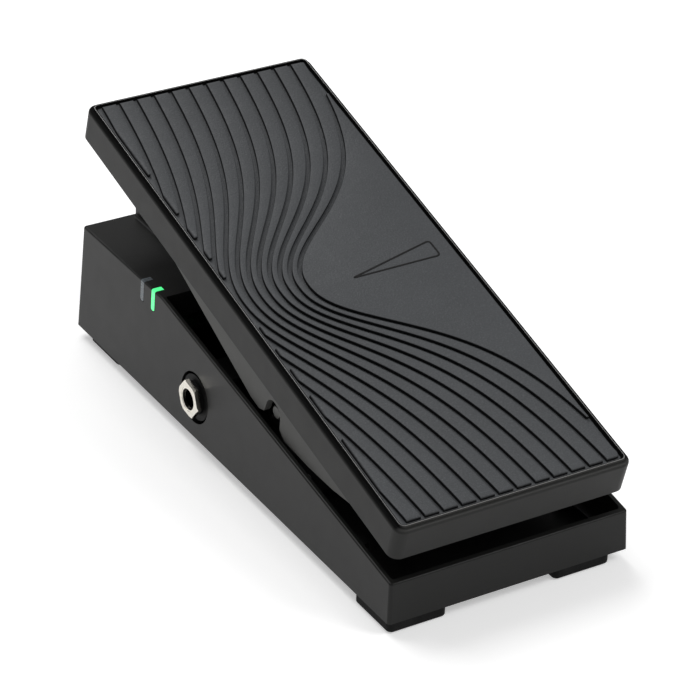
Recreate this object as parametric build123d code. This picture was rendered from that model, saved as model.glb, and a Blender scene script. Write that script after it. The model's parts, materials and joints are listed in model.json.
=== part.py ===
from build123d import *
from math import cos, sin, tan, radians
import os

# Expression pedal: a wedge-shaped cast base with an open tray, and a long
# treadle that rocks on a shaft and turns a potentiometer through gear teeth.
# Millimetres. +Y points to the toe end, +X to the player's right, +Z up.
# The origin is on the floor, at the middle of the base.

# ---------------------------------------------------------------- base shell
BASE_WIDTH = 92.4
BASE_LENGTH = 216.2
FOOT_HEIGHT = 4.2
DECK_Z = 45.2
HEEL_RIM_Z = 19.0
CREASE_Y = 46.5
SIDE_DRAFT = 0.04
END_DRAFT = 0.055
WALL = 1.8
DECK_THICKNESS = 3.0
BASE_CORNER = 1.2
RIM_ROUND = 0.7
SLOPE = (DECK_Z - HEEL_RIM_Z) / (CREASE_Y + 0.5 * BASE_LENGTH - 1.0)

# raised hump on the deck, which carries the toe stop
HUMP_HALF_WIDTH = 24.3
HUMP_Y = (80.0, 104.0)
HUMP_HEIGHT = 4.0
HUMP_ROOT = 1.0
TOE_PAD_THICKNESS = 1.2

# rubber feet: limits across and along the base
FOOT_CORNER = 2.0
FOOT_EDGE = 0.9
FEET = {
    "foot_heel_left": ((-45.4, -23.4), (-107.3, -85.8)),
    "foot_heel_right": ((18.0, 40.0), (-107.3, -85.8)),
    "foot_toe_left": ((-44.0, -23.4), (79.8, 101.7)),
    "foot_toe_right": ((18.0, 40.0), (79.8, 101.7)),
}

# ------------------------------------------------------------------- treadle
TREADLE_WIDTH = 89.5
TREADLE_LENGTH = 219.3
TREADLE_HEEL_Y = -109.4
TREADLE_HEEL_Z = 39.25
TREADLE_TILT = 14.6
BAND_DEPTH = 12.8
BAND_WALL = 2.6
TREADLE_CORNER = 3.8
SHOULDER_ROUND = 1.2
RIM_STEP = 0.4
BEAD_INSET = (1.6, 2.3)
BEAD_TOP = 0.5
MAT_POCKET_FLOOR = -1.9
TOP_PLATE = 3.0
MAT_GAP = 0.5
MAT_TOP = 0.8
MAT_FLANGE_TOP = -0.5
MAT_FLANGE = 0.8
SKIRT_OUTER = 42.6
SKIRT_THICKNESS = 2.4
STOP_RIB_X = 22.0
STOP_RIB_DEPTH = -12.0
STOP_RIB_THICKNESS = 2.5
CROSS_RIB_VS = (40.0, 120.0, 165.0)
CROSS_RIB_HALF = 43.0
CROSS_RIB_THICKNESS = 2.4
CROSS_RIB_DEPTH = -9.0
MAT_FIELD_CORNER = 1.5
STANDOFF_TOP = 28.4
HEEL_PAD_TOP = 34.1

# --------------------------------------------------------------------- pivot
PIVOT_Y = -27.3
PIVOT_Z = 38.0
SHAFT_R = 2.5
SHAFT_HALF = 41.4
ARM_INNER = 36.6
ARM_THICKNESS = 2.0
ARM_HOLE_R = SHAFT_R + 0.05
BUSH_BORE_R = SHAFT_R + 0.04
BUSH_R = 3.6
BOSS_X = (29.5, 35.2)
BOSS_R = 6.0
NOTCH_R = 4.7

# --------------------------------------------------------------------- gears
MODULE = 1.25
SECTOR_TEETH = 40
PINION_TEETH = 10
ADDENDUM = 0.8 * MODULE
DEDENDUM = 1.1 * MODULE
SECTOR_R = 0.5 * MODULE * SECTOR_TEETH
PINION_R = 0.5 * MODULE * PINION_TEETH
CENTRE_DISTANCE = SECTOR_R + PINION_R + 0.15
PINION_ANGLE = -40.0
GEAR_X = (10.5, 14.5)

# --------------------------------------------------------------- electronics
PLATE_THICKNESS = 1.5
PLATE_TOP = FOOT_HEIGHT + PLATE_THICKNESS
JACK_Y = 20.6
JACK_Z = 19.3
JACK_HOLE_R = 9.4
JACK_FLANGE_R = 8.4
JACK_FLANGE_RECESS = 0.5
JACK_BORE_R = 3.25
JACK_THREAD_R = 4.5
NUT_ACROSS_FLATS = 12.0
NUT_FACE_X = -48.2
NUT_THICKNESS = 1.7
NUT_TURN = -20.5
NUT_CHAMFER_R = 6.35
BUSHING_SET_BACK = 0.1
BUSHING_STEP_R = 3.9
BUSHING_STEP_DEPTH = 0.7
COLLAR_R = 6.0
PIPE_YS = (52.5, 60.4)
PIPE_WIDTH = 2.2
PIPE_LOW_Z = 37.4
PIPE_TOP_X = -41.0
PIPE_DEPTH = 1.9
BOARD_Z = 27.0
BOARD_THICKNESS = 1.6
BOARD_TOP = BOARD_Z + BOARD_THICKNESS
CELL_R = 7.1
CELL_Y = (33.3, 83.3)
CELL_XS = (-9.9, 4.9)
BOX_X = (-19.5, 14.5)
BOX_Y = (30.5, 86.5)
BOX_TOP = 22.6
DOOR_X = (-18.9, 13.9)
DOOR_Y = (30.0, 87.0)
DOOR_Z = (2.7, 3.9)

# toe panel, from the player's left to right
BUTTON_X = -36.6
BUTTON_R = 2.0
BUTTON_Z = BOARD_TOP + 3.5
SWITCH_X = -17.0
MINI_X = 2.0
MINI_FLANGE_R = 3.6
MINI_BORE_R = 1.8
USB_X = 22.0


def span_box(x, y, z):
    """A box given by its low and high limits on each axis."""
    size = (x[1] - x[0], y[1] - y[0], z[1] - z[0])
    middle = ((x[0] + x[1]) / 2, (y[0] + y[1]) / 2, (z[0] + z[1]) / 2)
    return Pos(*middle) * Box(*size)


def rod_x(radius, x, y, z):
    """A cylinder along X between two x limits."""
    middle = (x[0] + x[1]) / 2
    return Pos(middle, y, z) * Rot(0, 90, 0) * Cylinder(radius, x[1] - x[0])


def rod_y(radius, x, y, z):
    """A cylinder along Y between two y limits."""
    middle = (y[0] + y[1]) / 2
    return Pos(x, middle, z) * Rot(90, 0, 0) * Cylinder(radius, y[1] - y[0])


def rod_z(radius, x, y, z):
    """An upright cylinder between two z limits."""
    return Pos(x, y, (z[0] + z[1]) / 2) * Cylinder(radius, z[1] - z[0])


def round_upright(solid, radius):
    """Rounds the edges that run along Z."""
    return fillet(solid.edges().filter_by(Axis.Z), radius)


def hex_x(across_flats, x, y, z, turn=0.0):
    """A hexagonal prism along X."""
    prism = extrude(RegularPolygon(across_flats / 2, 6, major_radius=False), x[1] - x[0])
    return Pos(x[0], y, z) * Rot(turn, 0, 0) * Rot(0, 90, 0) * prism


def group(pieces):
    """Separate solids kept together in one node."""
    return Compound(children=list(pieces))


def half_width(z):
    """Outer half width of the base at a height."""
    return BASE_WIDTH / 2 - SIDE_DRAFT * (z - FOOT_HEIGHT)


def half_length(z):
    """Outer half length of the base at a height."""
    return BASE_LENGTH / 2 - END_DRAFT * (z - FOOT_HEIGHT)


def tapered_block(low, high, inset, corner):
    """A block with the base's draft, set in from its outside."""
    faces = []
    for z in (low, high):
        wide = 2 * (half_width(z) - inset)
        long = 2 * (half_length(z) - inset)
        faces.append(Pos(0, 0, z) * RectangleRounded(wide, long, corner))
    return loft(faces)


def rim_z(y):
    """Height of the base's top edge along its side."""
    return min(DECK_Z, DECK_Z - SLOPE * (CREASE_Y - y))


def treadle_place(solid):
    """Moves a solid from the treadle's own frame to its rest pose."""
    return Pos(0, TREADLE_HEEL_Y, TREADLE_HEEL_Z) * Rot(TREADLE_TILT, 0, 0) * solid


def treadle_local(y, z):
    """Position along and square to the treadle of a point in the part's frame."""
    dy = y - TREADLE_HEEL_Y
    dz = z - TREADLE_HEEL_Z
    turn = radians(TREADLE_TILT)
    return dy * cos(turn) + dz * sin(turn), dz * cos(turn) - dy * sin(turn)


PIVOT_V, PIVOT_W = treadle_local(PIVOT_Y, PIVOT_Z)
PINION_Y = PIVOT_Y + CENTRE_DISTANCE * cos(radians(PINION_ANGLE))
PINION_Z = PIVOT_Z + CENTRE_DISTANCE * sin(radians(PINION_ANGLE))
TOE_OUTER_Y = half_length(BOARD_TOP + 3.0)
TOE_INNER_Y = TOE_OUTER_Y - WALL
PLATE_UNDERSIDE = MAT_POCKET_FLOOR - TOP_PLATE
GEAR_SCREW_X = GEAR_X[1] + 2.8
GEAR_SCREW_VS = (PIVOT_V - 10.5, PIVOT_V + 10.5)
STANDOFFS = [(-STOP_RIB_X, -74.0), (STOP_RIB_X, -74.0)]
BOARD_BOSSES = [(x, y) for x in (-30.0, 30.0) for y in (58.0, 95.0)]
PLATE_SCREWS = [(x, y) for x in (-40.2, 40.2) for y in (-78.0, -8.0, 70.0)]
BRACKET_SCREWS = [(x, PIVOT_Y) for x in (-30.0, -14.0, 22.0, 32.0)]
POT_SCREWS = [(-6.5, PINION_Y - 7.5), (-6.5, PINION_Y + 7.5)]


# ------------------------------------------------------------- base housing
def make_base_housing():
    outer = tapered_block(FOOT_HEIGHT, DECK_Z, 0, BASE_CORNER)
    far = BASE_LENGTH
    wedge_side = Polyline(
        (CREASE_Y, DECK_Z),
        (CREASE_Y, DECK_Z + far),
        (-far, DECK_Z + far),
        (-far, rim_z(-far)),
        close=True,
    )
    wedge = extrude(Plane.YZ * make_face(wedge_side), BASE_WIDTH, both=True)
    outer -= wedge
    top_edges = []
    for edge in outer.edges():
        middle = edge.center()
        on_rim = abs(middle.Z - rim_z(middle.Y)) < 0.2
        if on_rim and edge.length > 20 and abs(middle.Y - CREASE_Y) > 1.0:
            top_edges.append(edge)
    outer = fillet(top_edges, RIM_ROUND)

    hollow = tapered_block(FOOT_HEIGHT - 1, DECK_Z + 1, WALL, 1.0)
    deck_region = span_box((-60, 60), (CREASE_Y, 120), (DECK_Z - DECK_THICKNESS, DECK_Z + 5))
    housing = outer - (hollow - deck_region)

    lip = span_box((-43, 43), (CREASE_Y, CREASE_Y + 2.0), (36.0, DECK_Z - 1.0))
    housing += lip
    housing += hump()
    housing += screw_posts()
    for x, y in BOARD_BOSSES:
        housing += rod_z(3.0, x, y, (BOARD_TOP, DECK_Z - 1))
    for x, y in BOARD_BOSSES:
        housing -= rod_z(1.2, x, y, (BOARD_TOP - 1, DECK_Z - 4))

    jack_x = -half_width(JACK_Z)
    housing -= rod_x(JACK_HOLE_R, (jack_x - 2, jack_x + 4), JACK_Y, JACK_Z)
    for y in PIPE_YS:
        housing -= light_pipe(y, 0.08, False)
    for cut in toe_panel_openings():
        housing -= cut
    return housing


def hump():
    """Block on the deck with a small concave root along each side."""
    root = HUMP_ROOT
    half = HUMP_HALF_WIDTH
    top = DECK_Z + HUMP_HEIGHT
    right = Polyline((half + root, DECK_Z - 1), (-half - root, DECK_Z - 1), (-half - root, DECK_Z))
    left_arc = CenterArc((-half - root, DECK_Z + root), root, -90, 90)
    roof = Polyline((-half, DECK_Z + root), (-half, top), (half, top), (half, DECK_Z + root))
    right_arc = CenterArc((half + root, DECK_Z + root), root, 180, 90)
    close = Line((half + root, DECK_Z), (half + root, DECK_Z - 1))
    profile = make_face(right + left_arc + roof + right_arc + close)
    block = Pos(0, HUMP_Y[1], 0) * extrude(Plane.XZ * profile, HUMP_Y[1] - HUMP_Y[0])
    return block


def screw_posts():
    posts = None
    for x, y in PLATE_SCREWS:
        post = rod_z(3.6, x, y, (PLATE_TOP, 17.0))
        side = 1 if x > 0 else -1
        web = span_box(sorted((x, side * 44.2)), (y - 2.4, y + 2.4), (PLATE_TOP, 17.0))
        post = post + web - rod_z(1.25, x, y, (PLATE_TOP - 1, 15.0))
        posts = post if posts is None else posts + post
    return posts


def toe_panel_openings():
    """Cuts through the toe wall for the sockets, switch and button."""
    y = (100.0, 110.0)
    usb = round_y_slot(USB_X, y, BOARD_TOP + 1.6, 9.4, 3.7, 1.6)
    mini = rod_y(MINI_FLANGE_R + 0.15, MINI_X, y, BOARD_TOP + 3.0)
    switch = span_box((SWITCH_X - 4.5, SWITCH_X + 4.5), y, (BOARD_TOP + 0.5, BOARD_TOP + 4.1))
    button = rod_y(BUTTON_R + 0.3, BUTTON_X, y, BUTTON_Z)
    return [usb, mini, switch, button]


def round_y_slot(x, y, z, width, height, corner):
    """A rounded slot through a wall that faces along Y."""
    shape = RectangleRounded(width, height, corner)
    return Pos(x, y[1], z) * extrude(Plane.XZ * shape, y[1] - y[0])


# ------------------------------------------------------------- bottom cover
def make_bottom_plate():
    inset = WALL + 0.5
    plate = span_box(
        (-BASE_WIDTH / 2 + inset, BASE_WIDTH / 2 - inset),
        (-BASE_LENGTH / 2 + inset, BASE_LENGTH / 2 - inset),
        (FOOT_HEIGHT, PLATE_TOP),
    )
    plate = round_upright(plate, 1.5)
    plate -= span_box((BOX_X[0] + 1.6, BOX_X[1] - 1.6), (BOX_Y[0] + 2, BOX_Y[1] - 2), (0, 10))
    for side, edge in ((-1, DOOR_X[0] - 0.35), (1, DOOR_X[1] + 0.35)):
        web = span_box(sorted((edge, edge + side * 1.5)), DOOR_Y, (1.6, FOOT_HEIGHT))
        lip = span_box(sorted((edge - side * 1.4, edge + side * 1.5)), DOOR_Y, (1.6, 2.4))
        plate += web + lip
    for x, y in PLATE_SCREWS:
        plate -= rod_z(1.6, x, y, (FOOT_HEIGHT - 1, PLATE_TOP + 1))
        plate -= Pos(x, y, FOOT_HEIGHT + 0.6) * Cone(3.0, 1.6, 1.2)
    for x, y in BRACKET_SCREWS + POT_SCREWS:
        plate -= rod_z(1.25, x, y, (FOOT_HEIGHT - 1, PLATE_TOP + 1))
    for x, y in STANDOFFS:
        plate -= rod_z(1.5, x, y, (FOOT_HEIGHT - 1, PLATE_TOP + 1))
    return plate


def make_plate_screws():
    screws = []
    for x, y in PLATE_SCREWS:
        head = Pos(x, y, FOOT_HEIGHT + 0.6) * Cone(2.9, 1.5, 1.2)
        head += rod_z(1.2, x, y, (FOOT_HEIGHT + 0.6, 13.0))
        head -= span_box((x - 1.6, x + 1.6), (y - 0.3, y + 0.3), (FOOT_HEIGHT - 1, FOOT_HEIGHT + 0.6))
        head -= span_box((x - 0.3, x + 0.3), (y - 1.6, y + 1.6), (FOOT_HEIGHT - 1, FOOT_HEIGHT + 0.6))
        screws.append(head)
    return group(screws)


def make_foot(x, y):
    """Rubber pad with rounded corners and a softened lower edge."""
    foot = round_upright(span_box(x, y, (0, FOOT_HEIGHT)), FOOT_CORNER)
    return fillet(foot.edges().group_by(Axis.Z)[0], FOOT_EDGE)


# ------------------------------------------------------------------ battery
def make_battery_box():
    shell = span_box(BOX_X, BOX_Y, (PLATE_TOP, BOX_TOP))
    shell -= span_box(
        (BOX_X[0] + 1.6, BOX_X[1] - 1.6),
        (BOX_Y[0] + 1.2, BOX_Y[1] - 1.2),
        (PLATE_TOP - 1, BOX_TOP - 1.4),
    )
    middle = sum(CELL_XS) / 2
    shell += span_box((middle - 0.2, middle + 0.2), BOX_Y, (BOX_TOP - 6, BOX_TOP - 1))
    return shell


def make_battery_cell(x):
    z = PLATE_TOP + 0.4 + CELL_R
    can = rod_y(CELL_R, x, CELL_Y, z)
    return fillet(can.edges(), 0.6)


def make_cell_contacts():
    z = PLATE_TOP + 0.4 + CELL_R
    contacts = []
    for index, x in enumerate(CELL_XS):
        spring_end = BOX_Y[0] + 1.2 if index == 0 else BOX_Y[1] - 1.2
        inward = 1 if index == 0 else -1
        cell_face = CELL_Y[0] if index == 0 else CELL_Y[1]
        plate = span_box((x - 4, x + 4), sorted((spring_end, spring_end + inward * 0.4)), (z - 4, z + 4))
        spring = rod_y(2.6, x, sorted((spring_end + inward * 0.4, cell_face)), z)
        spring -= rod_y(1.9, x, sorted((spring_end + inward * 0.4, cell_face)), z)
        contacts.append(plate + spring)
        other = BOX_Y[1] - 1.2 if index == 0 else BOX_Y[0] + 1.2
        far_face = CELL_Y[1] if index == 0 else CELL_Y[0]
        tab = span_box((x - 4, x + 4), sorted((other, other - inward * 0.4)), (z - 4, z + 4))
        nub = rod_y(2.4, x, sorted((other - inward * 0.4, far_face)), z)
        contacts.append(tab + nub)
    return group(contacts)


def make_battery_door():
    door = span_box(DOOR_X, DOOR_Y, DOOR_Z)
    for step in range(6):
        y = DOOR_Y[0] + 5.0 + 2.2 * step
        door -= span_box((-12.0, 7.0), (y, y + 1.0), (DOOR_Z[0] - 1, DOOR_Z[0] + 0.4))
    return door


# -------------------------------------------------------------------- pivot
def make_pivot_bracket():
    web = span_box((-ARM_INNER - ARM_THICKNESS, ARM_INNER + ARM_THICKNESS),
                   (PIVOT_Y - 8, PIVOT_Y + 8), (PLATE_TOP, PLATE_TOP + 2))
    bracket = web
    for side in (-1, 1):
        x = sorted((side * ARM_INNER, side * (ARM_INNER + ARM_THICKNESS)))
        arm = span_box(x, (PIVOT_Y - 8, PIVOT_Y + 8), (PLATE_TOP, PIVOT_Z - 6))
        neck = span_box(x, (PIVOT_Y - 6, PIVOT_Y + 6), (PIVOT_Z - 7, PIVOT_Z))
        bracket += arm + neck + rod_x(6.0, x, PIVOT_Y, PIVOT_Z)
        bracket -= rod_x(ARM_HOLE_R, (x[0] - 1, x[1] + 1), PIVOT_Y, PIVOT_Z)
    for x, y in BRACKET_SCREWS:
        bracket -= rod_z(1.6, x, y, (PLATE_TOP - 1, PLATE_TOP + 3))
    return bracket


def pan_screw(x, y, seat_z, shank_low):
    """A pan-head screw whose head sits on a face, pointing down."""
    head = rod_z(2.7, x, y, (seat_z, seat_z + 1.8))
    head = fillet(head.edges().group_by(Axis.Z)[-1], 0.6)
    head += rod_z(1.25, x, y, (shank_low, seat_z + 0.5))
    for angle in (0, 90):
        slot = Pos(x, y, seat_z + 1.8) * Rot(0, 0, angle) * Box(3.0, 0.6, 1.2)
        head -= slot
    return head


def make_bracket_screws():
    screws = [pan_screw(x, y, PLATE_TOP + 2.0, FOOT_HEIGHT + 0.1) for x, y in BRACKET_SCREWS]
    screws += [pan_screw(x, y, PLATE_TOP + 1.5, FOOT_HEIGHT + 0.1) for x, y in POT_SCREWS]
    return group(screws)


def make_pivot_shaft():
    shaft = rod_x(SHAFT_R, (-SHAFT_HALF, SHAFT_HALF), PIVOT_Y, PIVOT_Z)
    shaft = chamfer(shaft.edges(), 0.45)
    for side in (-1, 1):
        x = sorted((side * 38.75, side * 39.45))
        shaft -= rod_x(3.0, x, PIVOT_Y, PIVOT_Z) - rod_x(2.0, x, PIVOT_Y, PIVOT_Z)
    return shaft


def make_shaft_clips():
    clips = []
    for side in (-1, 1):
        x = sorted((side * 38.8, side * 39.4))
        clip = rod_x(3.6, x, PIVOT_Y, PIVOT_Z) - rod_x(2.0, (x[0] - 1, x[1] + 1), PIVOT_Y, PIVOT_Z)
        clip -= span_box((x[0] - 1, x[1] + 1), (PIVOT_Y - 1.4, PIVOT_Y + 1.4), (PIVOT_Z - 5, PIVOT_Z))
        clips.append(clip)
    return group(clips)


def make_friction_washers():
    washers = []
    for side in (-1, 1):
        x = sorted((side * (ARM_INNER - 0.5), side * ARM_INNER))
        ring = rod_x(5.0, x, PIVOT_Y, PIVOT_Z)
        washers.append(ring - rod_x(SHAFT_R + 0.05, (x[0] - 1, x[1] + 1), PIVOT_Y, PIVOT_Z))
    return group(washers)


def make_pivot_bushes():
    bushes = []
    for side in (-1, 1):
        sleeve = rod_x(BUSH_R, sorted((side * BOSS_X[0], side * BOSS_X[1])), PIVOT_Y, PIVOT_Z)
        flange = rod_x(4.8, sorted((side * BOSS_X[1], side * (BOSS_X[1] + 0.7))), PIVOT_Y, PIVOT_Z)
        bore = rod_x(BUSH_BORE_R, sorted((side * 29.0, side * 37.0)), PIVOT_Y, PIVOT_Z)
        bushes.append(sleeve + flange - bore)
    return group(bushes)


# -------------------------------------------------------------------- stops
def make_heel_standoffs():
    posts = []
    for x, y in STANDOFFS:
        post = rod_z(4.0, x, y, (PLATE_TOP, STANDOFF_TOP))
        post += rod_z(1.5, x, y, (FOOT_HEIGHT + 0.1, PLATE_TOP))
        posts.append(post)
    return group(posts)


def make_heel_pads():
    pads = []
    for x, y in STANDOFFS:
        pad = rod_z(5.5, x, y, (STANDOFF_TOP, HEEL_PAD_TOP))
        pads.append(fillet(pad.edges().group_by(Axis.Z)[-1], 1.2))
    return group(pads)


def make_toe_pad():
    low = DECK_Z + HUMP_HEIGHT
    pad = span_box((-23.0, 23.0), (82.0, 100.0), (low, low + TOE_PAD_THICKNESS))
    return round_upright(pad, 3.0)


# -------------------------------------------------------------------- gears
def gear_outline(teeth, root_r, tip_r, pitch_r, count, phase):
    """Points of straight-flanked teeth about a centre, tooth by tooth."""
    pitch_angle = 360.0 / teeth
    half_root = 0.33 * pitch_angle
    half_pitch = 0.225 * pitch_angle
    half_tip = 0.11 * pitch_angle
    points = []
    for index in range(count):
        middle = phase + index * pitch_angle
        for offset, radius in (
            (-half_root, root_r),
            (-half_pitch, pitch_r),
            (-half_tip, tip_r),
            (half_tip, tip_r),
            (half_pitch, pitch_r),
            (half_root, root_r),
        ):
            angle = radians(middle + offset)
            points.append((radius * cos(angle), radius * sin(angle)))
    return points


def make_sector_gear():
    contact = PINION_ANGLE
    pitch_angle = 360.0 / SECTOR_TEETH
    first = contact - pitch_angle
    teeth = 4
    arc_points = gear_outline(
        SECTOR_TEETH, SECTOR_R - DEDENDUM, SECTOR_R + ADDENDUM, SECTOR_R, teeth, first
    )
    fan = Polyline((0, 0), *arc_points, close=True)
    fan = extrude(Plane.YZ * make_face(fan), GEAR_X[1] - GEAR_X[0])
    fan = Pos(GEAR_X[0], PIVOT_Y, PIVOT_Z) * fan
    gear = fan + rod_x(7.0, GEAR_X, PIVOT_Y, PIVOT_Z)
    stalk = span_box(GEAR_X, (PIVOT_V - 7.0, PIVOT_V + 7.0), (PIVOT_W, PLATE_UNDERSIDE))
    foot = span_box((GEAR_X[0], GEAR_X[1] + 5.5), (PIVOT_V - 14, PIVOT_V + 14),
                    (PLATE_UNDERSIDE - 2.4, PLATE_UNDERSIDE))
    for v in GEAR_SCREW_VS:
        foot -= rod_z(1.6, GEAR_SCREW_X, v, (PLATE_UNDERSIDE - 4, PLATE_UNDERSIDE + 1))
    gear += treadle_place(stalk + foot)
    gear -= rod_x(SHAFT_R + 0.6, (GEAR_X[0] - 1, GEAR_X[1] + 1), PIVOT_Y, PIVOT_Z)
    return gear




def make_gear_screws():
    screws = []
    for v in GEAR_SCREW_VS:
        seat = PLATE_UNDERSIDE - 2.4
        head = rod_z(2.5, GEAR_SCREW_X, v, (seat - 1.6, seat))
        shank = rod_z(1.2, GEAR_SCREW_X, v, (seat - 0.5, PLATE_UNDERSIDE + 2.0))
        screws.append(treadle_place(head + shank))
    return group(screws)


def make_pinion():
    points = gear_outline(
        PINION_TEETH, PINION_R - DEDENDUM, PINION_R + ADDENDUM, PINION_R, PINION_TEETH,
        180.0 + PINION_ANGLE + 180.0 / PINION_TEETH,
    )
    wheel = extrude(Plane.YZ * make_face(Polyline(*points, close=True)), 5.0)
    wheel = Pos(10.0, PINION_Y, PINION_Z) * wheel
    wheel += rod_x(4.4, (8.6, 10.0), PINION_Y, PINION_Z)
    return wheel - rod_x(3.0, (8.0, 16.0), PINION_Y, PINION_Z)


# ------------------------------------------------------------ potentiometer
def make_pot_bracket():
    y = (PINION_Y - 11, PINION_Y + 11)
    upright = span_box((4.0, 5.5), y, (PLATE_TOP, PINION_Z + 9.5))
    foot = span_box((-10.0, 5.5), y, (PLATE_TOP, PLATE_TOP + 1.5))
    bracket = upright + foot - rod_x(3.6, (3, 7), PINION_Y, PINION_Z)
    for px, py in POT_SCREWS:
        bracket -= rod_z(1.6, px, py, (PLATE_TOP - 1, PLATE_TOP + 3))
    return bracket


def make_pot_body():
    body = rod_x(8.2, (-4.5, 4.0), PINION_Y, PINION_Z)
    body = fillet(body.edges().group_by(Axis.X)[0], 0.8)
    body += rod_x(3.5, (4.0, 8.4), PINION_Y, PINION_Z)
    body -= rod_x(3.05, (-2.0, 9.0), PINION_Y, PINION_Z)
    return body


def make_pot_terminals():
    pins = []
    for offset in (-5.0, 0.0, 5.0):
        y = (PINION_Y + offset - 0.9, PINION_Y + offset + 0.9)
        upright = span_box((-6.4, -5.7), y, (PINION_Z - 5.0, PINION_Z + 2.0))
        leg = span_box((-6.4, -4.5), y, (PINION_Z - 1.0, PINION_Z + 1.0))
        pins.append(upright + leg)
    return group(pins)


def make_pot_nut():
    nut = hex_x(10.0, (5.5, 7.5), PINION_Y, PINION_Z)
    return nut - rod_x(3.5, (5, 8.4), PINION_Y, PINION_Z)


def make_pot_shaft():
    shaft = rod_x(3.0, (-1.5, 15.6), PINION_Y, PINION_Z)
    shaft = chamfer(shaft.edges().group_by(Axis.X)[-1], 0.5)
    slot = span_box((14.9, 16.0), (PINION_Y - 0.5, PINION_Y + 0.5), (PINION_Z - 4, PINION_Z + 4))
    return shaft - slot


# ------------------------------------------------------------------ treadle
def rounded_plate(inset, low, high, corner):
    """A rounded rectangle slab in the treadle's frame, set in from its edge."""
    wide = TREADLE_WIDTH - 2 * inset
    long = TREADLE_LENGTH - 2 * inset
    face = Pos(0, TREADLE_LENGTH / 2, low) * RectangleRounded(wide, long, corner)
    return extrude(face, high - low)


def skirt_face():
    """Side view of one skirt: V shaped, with a U notch at the pivot."""
    top = -BAND_DEPTH + 4.0
    notch_half = NOTCH_R
    toe_tip = (PIVOT_V + notch_half + 3.4, -27.0)
    heel_tip = (PIVOT_V - notch_half - 4.2, -26.4)
    outline = Polyline(
        (170.0, top),
        (170.0, -BAND_DEPTH),
        (150.0, -16.3),
        (93.0, -26.9),
        toe_tip,
        (PIVOT_V + notch_half + 0.6, -25.4),
        (PIVOT_V + notch_half, -23.0),
        (PIVOT_V + notch_half, PIVOT_W),
    )
    arch = CenterArc((PIVOT_V, PIVOT_W), notch_half, 0, 180)
    rest = Polyline(
        (PIVOT_V - notch_half, PIVOT_W),
        (PIVOT_V - notch_half - 0.6, -24.6),
        heel_tip,
        (55.0, -23.6),
        (40.0, -19.8),
        (28.0, -15.6),
        (20.0, -BAND_DEPTH),
        (20.0, top),
        (170.0, top),
    )
    return make_face(outline + arch + rest)


def make_treadle():
    slab = rounded_plate(0, -BAND_DEPTH, -RIM_STEP, TREADLE_CORNER)
    rim = slab.edges().group_by(Axis.Z)[-1]
    slab = fillet(rim, SHOULDER_ROUND)
    slab += rounded_plate(BEAD_INSET[0], -2.0, BEAD_TOP, TREADLE_CORNER - BEAD_INSET[0])
    slab -= rounded_plate(BEAD_INSET[1], MAT_POCKET_FLOOR, 1.0, TREADLE_CORNER - BEAD_INSET[1])
    slab -= rounded_plate(BAND_WALL, -BAND_DEPTH - 1, PLATE_UNDERSIDE, TREADLE_CORNER - BAND_WALL)

    for side in (-1, 1):
        inner = side * (SKIRT_OUTER - SKIRT_THICKNESS)
        outer = side * SKIRT_OUTER
        skirt = extrude(Plane.YZ * skirt_face(), SKIRT_THICKNESS)
        slab += Pos(min(inner, outer), 0, 0) * skirt
        rib_x = (side * STOP_RIB_X - STOP_RIB_THICKNESS / 2, side * STOP_RIB_X + STOP_RIB_THICKNESS / 2)
        slab += span_box(rib_x, (2.0, TREADLE_LENGTH - 2.0), (STOP_RIB_DEPTH, PLATE_UNDERSIDE + 0.5))
        boss_x = sorted((side * BOSS_X[0], side * BOSS_X[1]))
        slab += rod_x(BOSS_R, boss_x, PIVOT_V, PIVOT_W)
        boss_web = (PIVOT_V - BOSS_R, PIVOT_V + BOSS_R)
        slab += span_box(boss_x, boss_web, (PIVOT_W, PLATE_UNDERSIDE + 0.5))
        slab -= rod_x(BUSH_R, (boss_x[0] - 1, boss_x[1] + 1), PIVOT_V, PIVOT_W)
    for v in CROSS_RIB_VS:
        rib_v = (v - CROSS_RIB_THICKNESS / 2, v + CROSS_RIB_THICKNESS / 2)
        rib_w = (CROSS_RIB_DEPTH, PLATE_UNDERSIDE + 0.5)
        slab += span_box((-CROSS_RIB_HALF, CROSS_RIB_HALF), rib_v, rib_w)
    for v in GEAR_SCREW_VS:
        slab -= rod_z(1.2, GEAR_SCREW_X, v, (PLATE_UNDERSIDE - 1, PLATE_UNDERSIDE + 2.2))
    return treadle_place(slab)


def make_mat():
    edge = BEAD_INSET[1] + MAT_GAP
    flange = rounded_plate(edge, MAT_POCKET_FLOOR, MAT_FLANGE_TOP, TREADLE_CORNER - edge)
    field = rounded_plate(edge + MAT_FLANGE, MAT_FLANGE_TOP - 0.5, MAT_TOP, MAT_FIELD_CORNER)
    return treadle_place(flange + field)


# --------------------------------------------------------------------- jack
def make_jack_body():
    wall_x = -half_width(JACK_Z)
    flange = rod_x(JACK_FLANGE_R, (wall_x + JACK_FLANGE_RECESS, wall_x + 3.4), JACK_Y, JACK_Z)
    block = span_box((wall_x + 3.4, wall_x + 26.0), (JACK_Y - 7.8, JACK_Y + 7.8),
                     (JACK_Z - 8.0, JACK_Z + 8.0))
    block = fillet(block.edges().filter_by(Axis.X), 1.0)
    bore = rod_x(JACK_THREAD_R, (wall_x, wall_x + 5.0), JACK_Y, JACK_Z)
    well = rod_x(4.2, (wall_x + 4.0, wall_x + 24.5), JACK_Y, JACK_Z)
    return flange + block - bore - well


def make_jack_bushing():
    """Threaded sleeve that the plug goes into, with a step at its mouth."""
    x = (NUT_FACE_X + BUSHING_SET_BACK, -half_width(JACK_Z) + 5.0)
    sleeve = rod_x(JACK_THREAD_R, x, JACK_Y, JACK_Z)
    sleeve -= rod_x(JACK_BORE_R, (x[0] - 1, x[1] + 1), JACK_Y, JACK_Z)
    return sleeve - rod_x(BUSHING_STEP_R, (x[0] - 1, x[0] + BUSHING_STEP_DEPTH), JACK_Y, JACK_Z)


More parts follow.
